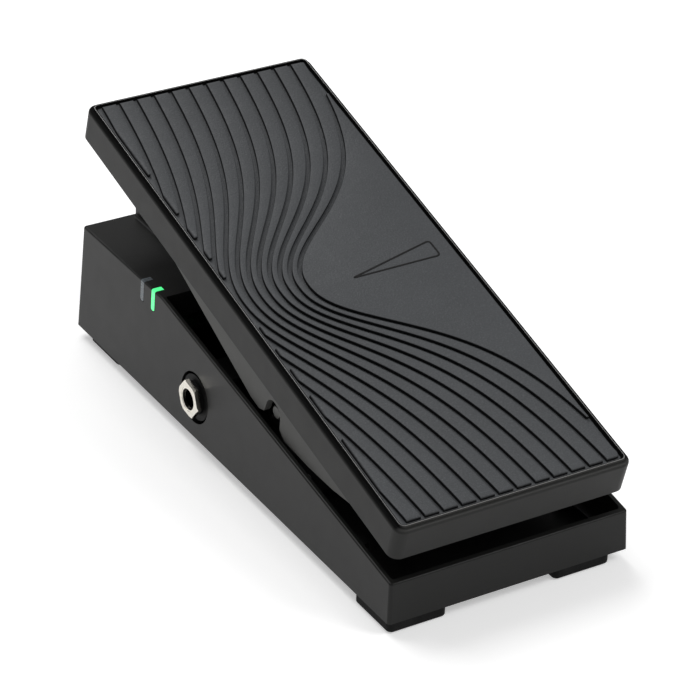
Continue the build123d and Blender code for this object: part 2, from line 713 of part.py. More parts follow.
def make_jack_nut():
    """Hexagon nut whose outer corners are turned to a 30 degree cone."""
    x = (NUT_FACE_X, NUT_FACE_X + NUT_THICKNESS)
    nut = hex_x(NUT_ACROSS_FLATS, x, JACK_Y, JACK_Z, NUT_TURN)
    widen = NUT_THICKNESS / tan(radians(30))
    turned = Cone(NUT_CHAMFER_R, NUT_CHAMFER_R + widen, NUT_THICKNESS)
    nut &= Pos((x[0] + x[1]) / 2, JACK_Y, JACK_Z) * Rot(0, 90, 0) * turned
    return nut - rod_x(JACK_THREAD_R, (x[0] - 1, x[1] + 1), JACK_Y, JACK_Z)


def make_jack_washer():
    """Plastic collar between the nut and the socket's flange."""
    x = (NUT_FACE_X + NUT_THICKNESS, -half_width(JACK_Z) + JACK_FLANGE_RECESS)
    ring = rod_x(COLLAR_R, x, JACK_Y, JACK_Z)
    return ring - rod_x(JACK_THREAD_R, (x[0] - 1, x[1] + 1), JACK_Y, JACK_Z)


def make_jack_contacts():
    wall_x = -half_width(JACK_Z)
    blades = []
    for reach, side in ((9.0, 1), (15.0, -1), (21.0, 1)):
        z = sorted((JACK_Z + side * 3.6, JACK_Z + side * 4.05))
        blades.append(span_box((wall_x + reach - 2, wall_x + reach + 2), (JACK_Y - 1.1, JACK_Y + 1.1), z))
    return group(blades)


# --------------------------------------------------- light pipes and board
def light_pipe(y, grow, with_stem):
    """An angle of clear plastic let into the base's left top edge."""
    side_x = -half_width(PIPE_LOW_Z) - 0.05 - grow
    lean = half_width(PIPE_LOW_Z) - half_width(DECK_Z)
    depth = PIPE_DEPTH + 2 * grow
    half = PIPE_WIDTH / 2 + grow
    low = PIPE_LOW_Z - grow
    profile = Polyline(
        (side_x, low),
        (side_x + depth, low),
        (side_x + depth + lean, DECK_Z - PIPE_DEPTH - grow),
        (PIPE_TOP_X + grow, DECK_Z - PIPE_DEPTH - grow),
        (PIPE_TOP_X + grow, DECK_Z + 0.05 + grow),
        (side_x + lean, DECK_Z + 0.05 + grow),
        close=True,
    )
    pipe = Pos(0, y + half, 0) * extrude(Plane.XZ * make_face(profile), 2 * half)
    if with_stem:
        stem = span_box((-42.6, -41.2), (y - 1.0, y + 1.0), (BOARD_TOP + 1.8, DECK_Z - 1.0))
        outer_edges = pipe.edges().filter_by(Axis.Y).filter_by(
            lambda e: e.center().Z > DECK_Z - 0.5 and e.center().X < -44)
        pipe = fillet(outer_edges, RIM_ROUND)
        low_edges = pipe.edges().filter_by(Axis.X).filter_by(lambda e: e.center().Z < PIPE_LOW_Z + 0.2)
        pipe = fillet(low_edges, PIPE_WIDTH / 2 - 0.2)
        pipe += stem
    else:
        pipe += span_box((-44.0, -41.0), (y - 1.2, y + 1.2), (PIPE_LOW_Z - 0.5, DECK_Z - 1.0))
    return pipe


def make_board():
    board = span_box((-42.4, 40.0), (50.0, TOE_INNER_Y - 1.2), (BOARD_Z, BOARD_TOP))
    for x, y in BOARD_BOSSES:
        board -= rod_z(1.6, x, y, (BOARD_Z - 1, BOARD_TOP + 1))
    return board


def make_board_chips():
    chips = [
        span_box((-14.0, -4.0), (60.0, 70.0), (BOARD_TOP, BOARD_TOP + 1.0)),
        span_box((6.0, 22.0), (72.0, 84.0), (BOARD_TOP, BOARD_TOP + 1.8)),
        span_box((-20.0, -14.0), (78.0, 84.0), (BOARD_TOP, BOARD_TOP + 4.0)),
        span_box((10.0, 15.0), (58.0, 62.0), (BOARD_TOP, BOARD_TOP + 1.6)),
    ]
    return group(chips)


def make_board_screws():
    screws = []
    for x, y in BOARD_BOSSES:
        head = rod_z(2.5, x, y, (BOARD_Z - 1.6, BOARD_Z))
        screws.append(head + rod_z(1.2, x, y, (BOARD_Z - 0.5, BOARD_TOP + 8.0)))
    return group(screws)


def make_indicator(y):
    body = span_box((-42.4, -39.6), (y - 1.4, y + 1.4), (BOARD_TOP, BOARD_TOP + 1.0))
    return body + rod_z(1.1, -41.3, y, (BOARD_TOP + 0.5, BOARD_TOP + 1.6))


def make_mini_jack():
    z = BOARD_TOP + 3.0
    body = span_box((MINI_X - 3.0, MINI_X + 3.0), (TOE_INNER_Y - 13.0, TOE_INNER_Y - 0.6),
                    (BOARD_TOP, BOARD_TOP + 5.6))
    collar = rod_y(MINI_FLANGE_R, MINI_X, (TOE_INNER_Y - 0.6, TOE_OUTER_Y - 0.2), z)
    return body + collar - rod_y(MINI_BORE_R, MINI_X, (TOE_INNER_Y - 11.0, TOE_OUTER_Y + 1), z)


def make_usb_socket():
    z = BOARD_TOP + 1.6
    y = (TOE_INNER_Y - 6.5, TOE_OUTER_Y - 0.6)
    shell = round_y_slot(USB_X, y, z, 8.9, 3.2, 1.3)
    inside = round_y_slot(USB_X, (y[0] + 0.6, y[1] + 1), z, 8.3, 2.6, 1.1)
    tongue = span_box((USB_X - 3.2, USB_X + 3.2), (y[0] + 0.5, y[1] - 1.0), (z - 0.35, z + 0.35))
    return shell - inside + tongue


def make_power_switch():
    y = (TOE_INNER_Y - 5.0, TOE_INNER_Y - 0.5)
    body = span_box((SWITCH_X - 5.5, SWITCH_X + 5.5), y, (BOARD_TOP, BOARD_TOP + 4.6))
    track = span_box((SWITCH_X - 3.9, SWITCH_X + 3.9), (y[1] - 2.0, y[1] + 1),
                     (BOARD_TOP + 1.1, BOARD_TOP + 3.5))
    return body - track


def make_power_knob():
    """Slide switch knob, shown at the end of its slot nearer the middle."""
    x = (SWITCH_X + 0.3, SWITCH_X + 3.6)
    z = (BOARD_TOP + 1.4, BOARD_TOP + 3.2)
    knob = span_box(x, (TOE_INNER_Y - 2.2, TOE_OUTER_Y + 0.2), z)
    for step in range(3):
        rib = x[0] + 0.75 + 0.8 * step
        knob -= span_box((rib, rib + 0.25), (TOE_OUTER_Y - 0.1, TOE_OUTER_Y + 1), (z[0] - 1, z[1] + 1))
    return knob


def make_mode_switch():
    y = (TOE_INNER_Y - 6.5, TOE_INNER_Y - 3.0)
    return span_box((BUTTON_X - 3.0, BUTTON_X + 3.0), y, (BOARD_TOP, BUTTON_Z + 2.3))


def make_mode_button():
    z = BUTTON_Z
    cap = rod_y(BUTTON_R, BUTTON_X, (TOE_INNER_Y - 0.9, TOE_OUTER_Y + 0.1), z)
    cap = fillet(cap.edges().group_by(Axis.Y)[-1], 0.4)
    cap += rod_y(2.9, BUTTON_X, (TOE_INNER_Y - 0.9, TOE_INNER_Y - 0.3), z)
    return cap + rod_y(1.1, BUTTON_X, (TOE_INNER_Y - 2.2, TOE_INNER_Y - 0.9), z)


def make_pot_lead():
    """Three-core lead from the potentiometer to the board."""
    start = (-6.05, PINION_Y + 5.0, PINION_Z + 2.0)
    corner = (-6.05, PINION_Y + 5.0, BOARD_Z + 4.5)
    path = FilletPolyline(start, corner, (-6.05, 54.0, BOARD_Z + 4.5), (-6.05, 54.0, BOARD_TOP), radius=2.4)
    profile = Plane(origin=start, z_dir=(0, 0, 1)) * Circle(0.8)
    return sweep(profile, path=path)


def make_parts():
    parts = {
        "base_housing": make_base_housing(),
        "bottom_plate": make_bottom_plate(),
        "plate_screws": make_plate_screws(),
        "battery_box": make_battery_box(),
        "battery_cell_1": make_battery_cell(CELL_XS[0]),
        "battery_cell_2": make_battery_cell(CELL_XS[1]),
        "battery_contacts": make_cell_contacts(),
        "battery_door": make_battery_door(),
        "pivot_bracket": make_pivot_bracket(),
        "bracket_screws": make_bracket_screws(),
        "pivot_shaft": make_pivot_shaft(),
        "shaft_clips": make_shaft_clips(),
        "friction_washers": make_friction_washers(),
        "heel_standoffs": make_heel_standoffs(),
        "heel_stop_pads": make_heel_pads(),
        "toe_stop_pad": make_toe_pad(),
        "pot_bracket": make_pot_bracket(),
        "pot_body": make_pot_body(),
        "pot_terminals": make_pot_terminals(),
        "pot_nut": make_pot_nut(),
        "pot_shaft": make_pot_shaft(),
        "pinion_gear": make_pinion(),
        "jack_body": make_jack_body(),
        "jack_bushing": make_jack_bushing(),
        "jack_nut": make_jack_nut(),
        "jack_washer": make_jack_washer(),
        "jack_contacts": make_jack_contacts(),
        "light_pipe_power": light_pipe(PIPE_YS[0], 0.0, True),
        "light_pipe_link": light_pipe(PIPE_YS[1], 0.0, True),
        "indicator_power": make_indicator(PIPE_YS[0]),
        "indicator_link": make_indicator(PIPE_YS[1]),
        "circuit_board": make_board(),
        "board_chips": make_board_chips(),
        "board_screws": make_board_screws(),
        "mini_jack": make_mini_jack(),
        "usb_socket": make_usb_socket(),
        "power_switch": make_power_switch(),
        "power_switch_knob": make_power_knob(),
        "mode_switch": make_mode_switch(),
        "mode_button": make_mode_button(),
        "pot_lead": make_pot_lead(),
        "treadle": make_treadle(),
        "treadle_mat": make_mat(),
        "pivot_bushes": make_pivot_bushes(),
        "sector_gear": make_sector_gear(),
        "gear_screws": make_gear_screws(),
    }
    for name, (x, y) in FEET.items():
        parts[name] = make_foot(x, y)
    return parts


os.makedirs("parts", exist_ok=True)
for node, solid in make_parts().items():
    export_step(solid, f"parts/{node}.step")
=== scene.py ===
import json
import math

import bpy
import bmesh
from mathutils import Matrix, Vector


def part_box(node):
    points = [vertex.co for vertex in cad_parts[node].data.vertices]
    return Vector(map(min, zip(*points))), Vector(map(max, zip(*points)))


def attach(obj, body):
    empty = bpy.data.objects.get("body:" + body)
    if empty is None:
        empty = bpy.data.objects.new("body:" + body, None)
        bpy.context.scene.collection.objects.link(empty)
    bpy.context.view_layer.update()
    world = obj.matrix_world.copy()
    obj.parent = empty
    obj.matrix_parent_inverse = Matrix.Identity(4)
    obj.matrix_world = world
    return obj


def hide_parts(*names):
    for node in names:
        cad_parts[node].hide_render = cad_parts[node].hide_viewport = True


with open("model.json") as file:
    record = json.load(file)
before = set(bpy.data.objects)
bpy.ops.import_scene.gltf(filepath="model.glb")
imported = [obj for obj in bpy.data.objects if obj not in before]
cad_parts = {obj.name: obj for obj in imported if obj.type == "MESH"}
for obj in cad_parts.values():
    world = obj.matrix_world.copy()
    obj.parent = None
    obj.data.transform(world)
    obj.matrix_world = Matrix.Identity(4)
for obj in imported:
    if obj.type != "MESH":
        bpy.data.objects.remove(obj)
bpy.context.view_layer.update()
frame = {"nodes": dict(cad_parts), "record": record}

# Looks of the expression pedal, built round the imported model. Metres, +Y towards the toe.
MM = 0.001
nodes = frame["nodes"]
mounts = {m["name"]: m for m in frame["record"]["mounts"]}


# ------------------------------------------------------------ treadle's frame
# u runs across the treadle, v along it from its heel face, w square to its top, all in mm.
SHOE_V = 110.0              # place of the shoe_face mount, which fixes the frame
SHOE_W = 0.8
TREADLE_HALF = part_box("treadle")[1].x / MM
TREADLE_LENGTH = 219.3

shoe = mounts["shoe_face"]
normal = Vector(shoe["axis"])
along = Vector((0.0, normal.z, -normal.y))
origin = Vector(shoe["pos_m"]) - along * SHOE_V * MM - normal * SHOE_W * MM


def on_treadle(u, v, w):
    """A point given in the treadle's frame, in metres and the shared frame."""
    return origin + Vector((u * MM, 0.0, 0.0)) + along * v * MM + normal * w * MM


# ------------------------------------------------------------ node helpers
# sockets of the Mix node that carry colours
MIX_FIRST, MIX_SECOND, MIX_RESULT = 6, 7, 2
NOISE_MIDDLE = (0.3, 0.7)   # where nearly all of a noise's values lie


def scaled(colour, k):
    return tuple(c * k for c in colour)


class Graph:
    """A material's node tree, with short ways to add nodes to it and join them."""

    def __init__(self, name):
        self.material = bpy.data.materials.new(name)
        self.material.use_nodes = True
        self.tree = self.material.node_tree
        self.bsdf = self.tree.nodes["Principled BSDF"]
        self.place = self.add("ShaderNodeTexCoord").outputs["Object"]

    def add(self, kind, sockets=None, **settings):
        """A new node with its settings, and outputs or values for its input sockets."""
        node = self.tree.nodes.new(kind)
        for key, value in settings.items():
            setattr(node, key, value)
        for key, value in (sockets or {}).items():
            self.put(value, node.inputs[key])
        return node

    def put(self, value, socket):
        """Join an output to a socket, or set the socket to a plain value."""
        if isinstance(value, bpy.types.NodeSocket):
            self.tree.links.new(value, socket)
        elif socket.type == "RGBA":
            socket.default_value = (*value, 1.0)
        else:
            socket.default_value = value

    def set(self, **values):
        """Fill the surface's sockets; an underscore stands for a space in their names."""
        for key, value in values.items():
            self.put(value, self.bsdf.inputs[key.replace("_", " ")])

    def stretched(self, stretch):
        """Coordinates scaled by a different amount along each axis."""
        sockets = {"Vector": self.place, "Scale": stretch}
        return self.add("ShaderNodeMapping", sockets).outputs["Vector"]

    def noise(self, scale, detail=3.0, rough=0.5, stretch=None):
        place = self.place if stretch is None else self.stretched(stretch)
        sockets = {"Vector": place, "Scale": scale, "Detail": detail, "Roughness": rough}
        return self.add("ShaderNodeTexNoise", sockets).outputs["Fac"]

    def voronoi(self, scale, feature="F1"):
        sockets = {"Vector": self.place, "Scale": scale}
        return self.add("ShaderNodeTexVoronoi", sockets, feature=feature).outputs["Distance"]

    def ramp(self, fac, stops, first, second):
        """Blend from the first colour to the second between two stops."""
        node = self.add("ShaderNodeValToRGB", {"Fac": fac})
        for element, stop, colour in zip(node.color_ramp.elements, stops, (first, second)):
            element.position = stop
            element.color = (*colour, 1.0)
        return node.outputs["Color"]

    def mottled(self, noise, colour, low, high):
        """One colour, scaled from low to high by a noise."""
        return self.ramp(noise, NOISE_MIDDLE, scaled(colour, low), scaled(colour, high))

    def span(self, value, source, target=(0.0, 1.0)):
        """Map the source range onto the target range, held at both ends."""
        return self.add("ShaderNodeMapRange", {
            "Value": value,
            "From Min": source[0], "From Max": source[1],
            "To Min": target[0], "To Max": target[1],
        }).outputs["Result"]

    def mix(self, fac, first, second):
        sockets = {"Factor": fac, MIX_FIRST: first, MIX_SECOND: second}
        return self.add("ShaderNodeMix", sockets, data_type="RGBA").outputs[MIX_RESULT]

    def maths(self, operation, first, second):
        sockets = {0: first, 1: second}
        return self.add("ShaderNodeMath", sockets, operation=operation).outputs[0]

    def vector_maths(self, operation, first, second):
        """Vector operation whose result is one number."""
        sockets = {0: first, 1: second}
        node = self.add("ShaderNodeVectorMath", sockets, operation=operation)
        return node.outputs["Value"]

    def reach(self, direction):
        """Distance from the treadle's origin along one direction, in metres."""
        reached = self.vector_maths("DOT_PRODUCT", self.place, direction)
        return self.maths("SUBTRACT", reached, direction.dot(origin))

    def bump(self, *layers):
        """Bumps stacked one on another: (height output, distance in metres, strength)."""
        last = None
        for height, distance, strength in layers:
            sockets = {"Height": height, "Distance": distance, "Strength": strength}
            if last is not None:
                sockets["Normal"] = last
            last = self.add("ShaderNodeBump", sockets).outputs["Normal"]
        self.set(Normal=last)


# ---------------------------------------------------------------- materials
BLACK = (0.0015, 0.0015, 0.0015)

# where painted light and shade on the treadle and its mat change, metres in its own frame
SKIRT_FADE = (-0.0131, -0.0127)     # height: skirt below, band above
SHOULDER_FADE = (-0.0011, -0.0006)  # height: shoulder round the mat above
HEEL_EDGE_FADE = (0.0014, 0.0030)   # length: edge of the heel before
# painted shade on the mat rubber, deepening towards the toe
TOE_FADE = (0.060, 0.219)           # length: rubber darkens from one to the other
TOE_DARKENING = 0.15
# painted highlight: the shoulder on the heel's edge is drawn brighter than the coat
HEEL_EDGE_HIGHLIGHT_GAIN = 2.2                # how much brighter the coat is on the heel's edge
SHOULDER_DULLING = 0.5

# painted shade inside the jack's bore, metres
BORE_RADIUS_FADE = (0.00393, 0.00397)
BORE_DEPTH_FADE = (0.00038, 0.00055)
BORE_PAINTED_SHADE = 0.012


def coat(name, colour, rough, specular, grain=0.35, skirt=None):
    """Powder coat or paint: fine grain, slight cloudiness, a little dust in the pores."""
    g = Graph(name)
    tone = g.mottled(g.noise(38.0, 4.0), colour, 0.95, 1.05)
    specks = g.span(g.noise(5200.0, 1.0), (0.66, 0.72), (0.0, 0.25))
    marks_and_painted_light = g.mix(specks, tone, scaled(colour, 2.0))
    dull = g.span(g.noise(140.0, 5.0), NOISE_MIDDLE, (rough - 0.02, rough + 0.03))
    # the treadle's coat gets painted reflection, shade and highlight zones
    if skirt is not None:
        marks_and_painted_light, dull = treadle_painted_light(g, colour, skirt, marks_and_painted_light, dull)
    g.set(Base_Color=marks_and_painted_light, Roughness=dull, Specular_IOR_Level=specular)
    g.bump((g.noise(2600.0, 2.0), 0.00006, grain))
    return g.material


def treadle_painted_light(g, colour, skirt, marks_and_painted_light, dull):
    """Painted light on the treadle: a paler skirt under the band as a painted reflection; the
    shoulder round the mat black as painted shade, but paler at the heel as a painted
    highlight.
    """
    height = g.reach(normal)
    # painted reflection: the skirt below the band takes a paler colour
    marks_and_painted_light = g.mix(g.span(height, SKIRT_FADE, (1.0, 0.0)), marks_and_painted_light, skirt)
    shoulder = g.span(height, SHOULDER_FADE)
    past_heel = g.span(g.reach(along), HEEL_EDGE_FADE)
    # painted highlight at the heel's edge, painted shade (black) on the rest of the shoulder
    edge = g.mix(past_heel, scaled(colour, HEEL_EDGE_HIGHLIGHT_GAIN), BLACK)
    marks_and_painted_light = g.mix(shoulder, marks_and_painted_light, edge)
    painted_shade_share = g.maths("MULTIPLY", shoulder, past_heel)
    dull = g.maths("ADD", dull, g.maths("MULTIPLY", painted_shade_share, SHOULDER_DULLING))
    return marks_and_painted_light, dull


def rubber(name, colour, rough, specular, grain=0.4, grooved=False, painted_toe_shade=False):
    """Moulded rubber: matt, finely pitted, with faint mottling and dust.

    Grooved rubber has painted shade wherever it is steep to the treadle's top, and painted toe
    shade darkens it towards the toe."""
    g = Graph(name)
    tone = g.mottled(g.noise(55.0, 6.0, 0.6), colour, 0.95, 1.05)
    dust = g.span(g.noise(2200.0, 2.0), (0.5, 0.75), (0.0, 0.5))
    marks_and_painted_light = g.mix(dust, tone, scaled(colour, 1.8))
    # painted shade, deepening towards the toe
    if painted_toe_shade:
        toe_share = g.span(g.reach(along), TOE_FADE, (0.0, TOE_DARKENING))
        marks_and_painted_light = g.mix(toe_share, marks_and_painted_light, BLACK)
    # painted shade on the steep groove walls, standing in for the shade inside the grooves
    if grooved:
        face_normal = g.add("ShaderNodeNewGeometry").outputs["Normal"]
        facing = g.vector_maths("DOT_PRODUCT", face_normal, normal)
        steep = g.span(facing, (0.25, 0.85), (1.0, 0.0))
        marks_and_painted_light = g.mix(steep, marks_and_painted_light, scaled(colour, 0.12))
    dull = g.span(g.noise(210.0, 5.0), NOISE_MIDDLE, (rough - 0.06, rough + 0.07))
    g.set(Base_Color=marks_and_painted_light, Roughness=dull, Specular_IOR_Level=specular)
    pits = g.span(g.voronoi(2100.0), (0.0, 0.5))
    g.bump((g.noise(1300.0), 0.00017, grain), (pits, 0.00006, grain * 0.5))
    return g.material


def plastic(name, colour, rough, specular=0.5):
    """Moulded plastic with spark-eroded grain."""
    g = Graph(name)
    tone = g.mottled(g.noise(70.0), colour, 0.92, 1.08)
    dull = g.span(g.noise(260.0, 4.0), NOISE_MIDDLE, (rough - 0.06, rough + 0.08))
    g.set(Base_Color=tone, Roughness=dull, Specular_IOR_Level=specular)
    g.bump((g.noise(1900.0, 2.0), 0.00005, 0.25), (g.noise(120.0, 2.0), 0.0002, 0.03))
    return g.material


def jack_bore_shade(g):
    """Painted shade mask: one inside the jack's mouth, behind its bright first edge."""
    jack = Vector(mounts["output_jack"]["pos_m"])
    side_on = g.stretched((0.0, 1.0, 1.0))
    radius = g.vector_maths("DISTANCE", side_on, (0.0, jack.y, jack.z))
    inside = g.span(radius, BORE_RADIUS_FADE, (1.0, 0.0))
    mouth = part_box("jack_bushing")[0].x
    across = g.add("ShaderNodeSeparateXYZ", {0: g.place}).outputs["X"]
    deep = g.span(across, tuple(mouth + depth for depth in BORE_DEPTH_FADE))
    return g.maths("MULTIPLY", inside, deep)


def metal(name, colour, rough, brush, brush_depth, stain, bore=False):
    """Turned, rolled or plated metal, faintly stained.

    The brush says how many times finer the streaks are along each axis."""
    g = Graph(name)
    streak = g.noise(900.0, 3.0, 0.6, stretch=brush)
    spots = g.noise(160.0, 5.0, 0.6)
    tone = g.mottled(streak, colour, 0.9, 1.05)
    marks_and_painted_light = g.mix(g.maths("MULTIPLY", spots, stain), tone, scaled(colour, 0.55))
    # painted shade inside the jack's bore
    if bore:
        marks_and_painted_light = g.mix(jack_bore_shade(g), marks_and_painted_light, scaled(colour, BORE_PAINTED_SHADE))
    patchy = g.maths("MULTIPLY", streak, spots)
    dull = g.span(patchy, (0.1, 0.45), (rough - 0.05, rough + 0.12))
    g.set(Base_Color=marks_and_painted_light, Metallic=1.0, Roughness=dull)
    g.bump((streak, 0.00004, brush_depth))
    return g.material


def lamp_plastic(name, colour, glow=None):
    """Tinted plastic of a light pipe or lens, with light in it where a glow is given."""
    g = Graph(name)
    cloud = g.noise(250.0, 1.0)
    dull = g.span(g.noise(900.0), NOISE_MIDDLE, (0.20, 0.33))
    g.set(Base_Color=g.mottled(cloud, colour, 0.97, 1.03), Roughness=dull)
    if glow is not None:
        light = g.ramp(cloud, (0.2, 0.8), scaled(glow, 0.85), glow)
        g.set(Emission_Color=light, Emission_Strength=1.0)
    g.bump((g.noise(1200.0, 2.0), 0.00001, 0.1))
    return g.material


def board_mask(name):
    """Black solder mask, with tracks under it a little paler and raised."""
    g = Graph(name)
    track = g.span(g.voronoi(170.0, "DISTANCE_TO_EDGE"), (0.03, 0.06), (1.0, 0.0))
    cloud = g.noise(90.0)
    mask = g.ramp(cloud, NOISE_MIDDLE, (0.016, 0.018, 0.018), (0.020, 0.023, 0.022))
    dull = g.span(cloud, NOISE_MIDDLE, (0.25, 0.4))
    g.set(Base_Color=g.mix(track, mask, (0.034, 0.039, 0.036)), Roughness=dull)
    g.bump((track, 0.00005, 0.5))
    return g.material


MAT_COLOUR = (0.070, 0.0735, 0.0780)
NICKEL = dict(colour=(0.80, 0.765, 0.69), rough=0.14, brush=(8.0, 1.0, 1.0),
              brush_depth=0.06, stain=0.08)
looks = {
    "base_metal": coat("base_coat", (0.0118, 0.0118, 0.0113), 0.36, 0.185, grain=0.3),
    # the treadle's skirt colour is a painted reflection
    "treadle_metal": coat("treadle_coat", (0.0190, 0.0190, 0.0182), 0.46, 0.17, grain=0.3,
                          skirt=(0.075, 0.075, 0.072)),
    # the lip's pale colour is a painted highlight along the bead
    "treadle_lip": coat("lip_painted_highlight", (0.30, 0.30, 0.295), 0.25, 0.6, grain=0.15),
    "plate_metal": coat("plate_paint", (0.012, 0.012, 0.012), 0.6, 0.3),
    "black_bracket": coat("bracket_paint", (0.009, 0.009, 0.009), 0.5, 0.3),
    "bracket_steel": metal("zinc_sheet", (0.58, 0.58, 0.56), 0.34,
                           brush=(1.0, 12.0, 1.0), brush_depth=0.2, stain=0.25),
    "screw_steel": metal("screw_steel", (0.34, 0.34, 0.33), 0.32,
                         brush=(3.0, 3.0, 1.0), brush_depth=0.15, stain=0.3),
    "spring_steel": metal("spring_steel", (0.62, 0.61, 0.58), 0.25,
                          brush=(1.0, 1.0, 6.0), brush_depth=0.1, stain=0.15),
    "shaft_steel": metal("ground_steel", (0.10, 0.10, 0.097), 0.36,
                         brush=(0.2, 8.0, 8.0), brush_depth=0.25, stain=0.3),
    "nut_nickel": metal("nickel_plate", **NICKEL),
    # the bushing's plating carries painted shade inside its bore
    "bushing": metal("bushing_plate", **NICKEL, bore=True),
    "brass": metal("turned_brass", (0.75, 0.56, 0.27), 0.25,
                   brush=(8.0, 1.0, 1.0), brush_depth=0.15, stain=0.15),
    "black_rubber": rubber("stop_rubber", (0.006, 0.006, 0.006), 0.65, 0.25),
    "foot_rubber": rubber("foot_rubber", (0.005, 0.005, 0.005), 0.65, 0.13),
    # the mat's steep groove walls and its toe end carry painted shade
    "mat_rubber": rubber("mat_rubber", MAT_COLOUR, 0.55, 0.26, grain=1.0, grooved=True,
                         painted_toe_shade=True),
    "mat_edge": rubber("mat_edge", MAT_COLOUR, 0.55, 0.26, grain=1.0, painted_toe_shade=True),
    "black_plastic": plastic("black_plastic", (0.005, 0.005, 0.005), 0.5, specular=0.1),
    "grey_plastic": plastic("grey_plastic", (0.12, 0.12, 0.12), 0.4),
    "white_plastic": plastic("acetal", (0.72, 0.72, 0.69), 0.35),
    "gear_plastic": plastic("nylon", (0.62, 0.60, 0.50), 0.4),
    "lead_pvc": plastic("lead_pvc", (0.02, 0.02, 0.02), 0.45),
    "cell_wrap": plastic("cell_wrap", (0.07, 0.07, 0.08), 0.25),
    "board_black": board_mask("solder_mask"),
    "pipe_lit": lamp_plastic("pipe_lit", (0.1, 0.7, 0.25), glow=(0.07, 0.92, 0.27)),
    "pipe_clear": lamp_plastic("pipe_clear", (0.10, 0.12, 0.135)),
    "lamp_lens": lamp_plastic("lamp_lens", (0.75, 0.75, 0.65)),
}
for part in frame["record"]["subparts"]:
    node = nodes[part["node"]]
    node.data.materials.clear()
    node.data.materials.append(looks[part["material_slot"]])
nodes["jack_bushing"].data.materials[0] = looks["bushing"]


# ---------------------------------------------------------------- mesh helpers
MERGE_DISTANCE = 1e-6       # metres


def new_piece(name, material, body):
    mesh = bpy.data.meshes.new(name)
    piece = bpy.data.objects.new(name, mesh)
    bpy.context.scene.collection.objects.link(piece)
    mesh.materials.append(material)
    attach(piece, body)
    return piece


def fill_piece(piece, build, smooth_degrees):
    """Build a piece's mesh; edges sharper than the angle stay sharp."""
    shape = bmesh.new()
    build(shape)
    bmesh.ops.remove_doubles(shape, verts=shape.verts, dist=MERGE_DISTANCE)
    bmesh.ops.recalc_face_normals(shape, faces=shape.faces)
    shape.to_mesh(piece.data)
    shape.free()
    for face in piece.data.polygons:
        face.use_smooth = True
    piece.data.set_sharp_from_angle(angle=math.radians(smooth_degrees))


def rounded_outline(half_u, low_v, high_v, radius, steps=10):
    """Points round a rounded rectangle in the treadle's plane, anticlockwise."""
    points = []
    corners = (
        (half_u - radius, high_v - radius, 0),
        (-half_u + radius, high_v - radius, 90),
        (-half_u + radius, low_v + radius, 180),
        (half_u - radius, low_v + radius, 270),
    )
    for cu, cv, start in corners:
        for step in range(steps + 1):
            angle = math.radians(start + 90 * step / steps)
            points.append((cu + radius * math.cos(angle), cv + radius * math.sin(angle)))
    return points


def grid_faces(shape, rows, closed_rows=False, closed_columns=False):
    """Quads between rows of vertices."""
    count = len(rows)
    for i in range(count if closed_rows else count - 1):
        first, second = rows[i], rows[(i + 1) % count]
        columns = len(first)
        for j in range(columns if closed_columns else columns - 1):
            k = (j + 1) % columns
            shape.faces.new((first[j], first[k], second[k], second[j]))


# ---------------------------------------------------------------- ribbed mat
# in the treadle's frame, mm
RIB_TOP = 0.8
GROOVE = 1.6                # width of a groove, square to itself
GROOVE_FLOOR = -0.45
RIB_FOOT = GROOVE_FLOOR - 0.1   # the ribs' sides reach into the floor

MAT_HALF = 41.95            # the mat reaches this far out from the middle
MAT_END = 2.8               # and this near to either end of the treadle
MAT_BOTTOM = -1.8
BEVEL_IN = 0.3              # bevel round the mat's top
BEVEL_DOWN = 0.25
MAT_CORNER = 1.2
BEVEL_CORNER = 0.9

RIB_HALF = 41.4             # limits of the ribs
RIB_LOW = 3.35
RIB_HIGH = TREADLE_LENGTH - RIB_LOW
FIELD_CORNER = 1.6          # rounding of the four corners of the ribbed field
FLOOR_INSET = 0.4           # the flat floor's last row lies this far under the ribs
FLOOR_CORNER = 0.6

EDGE_ROUND = 0.30           # top edge of a rib beside a groove
BORDER_ROUND = 0.95         # top edge of a rib at the border
ROUND_STEPS = (0.0, 0.06, 0.22, 0.5, 1.0)   # shares of a rounded edge's width
WIDEST_ROUND = 0.45         # most that an edge takes of a rib's width
END_STEPS = (0.0, 0.12, 0.3, 0.6)           # extra stations at a rib's ends
END_CLEAR = 0.7             # plain stations start past them

STATION = 1.0               # spacing along a rib
CLOSE = 0.1                 # a rib that ends this near to the border ends at it
NARROWEST_RIB = 0.9
SHORTEST_RIB = 4.0
RIBS = range(-1, 13)        # rib -1 is the smooth field, right of the first groove
PINCH_V = 109.8             # where the grooves come closest together


def groove_wall(k, v):
    """Right-hand wall of groove k: an S that pinches towards the left half way along."""
    pinch_u = -15.7 - 3.57 * k
    swing = 63.7 - 2.7 * k - 0.046 * k * k
    spread = 36.6 + 2.045 * k
    power = 2.306 - 0.023 * k
    x = (abs(v - PINCH_V) / spread) ** power
    return pinch_u + swing * x / (1 + x)


def lean(k, v):
    """How much wider the groove is across the treadle than square to itself."""
    slope = groove_wall(k, v + 0.5) - groove_wall(k, v - 0.5)
    return math.sqrt(1 + slope * slope)


def round_profile(distance, radius):
    """Drop below the top at a distance in from a rounded edge."""
    if distance >= radius:
        return 0.0
    return radius - math.sqrt(max(0.0, radius * radius - (radius - distance) ** 2))


def rib_sides(index, v):
    """A rib's left and right limits, and their leans, which are 0 at the mat's border."""
    half = RIB_HALF - round_profile(min(v - RIB_LOW, RIB_HIGH - v), FIELD_CORNER)
    left, left_lean = groove_wall(index + 1, v), lean(index + 1, v)
    if left < -half:
        left, left_lean = -half, 0.0
    right, right_lean = half, 0.0
    if index >= 0:
        wall = groove_wall(index, v) - GROOVE * lean(index, v)
        if wall < half:
            right, right_lean = wall, lean(index, v)
    return left, right, left_lean, right_lean


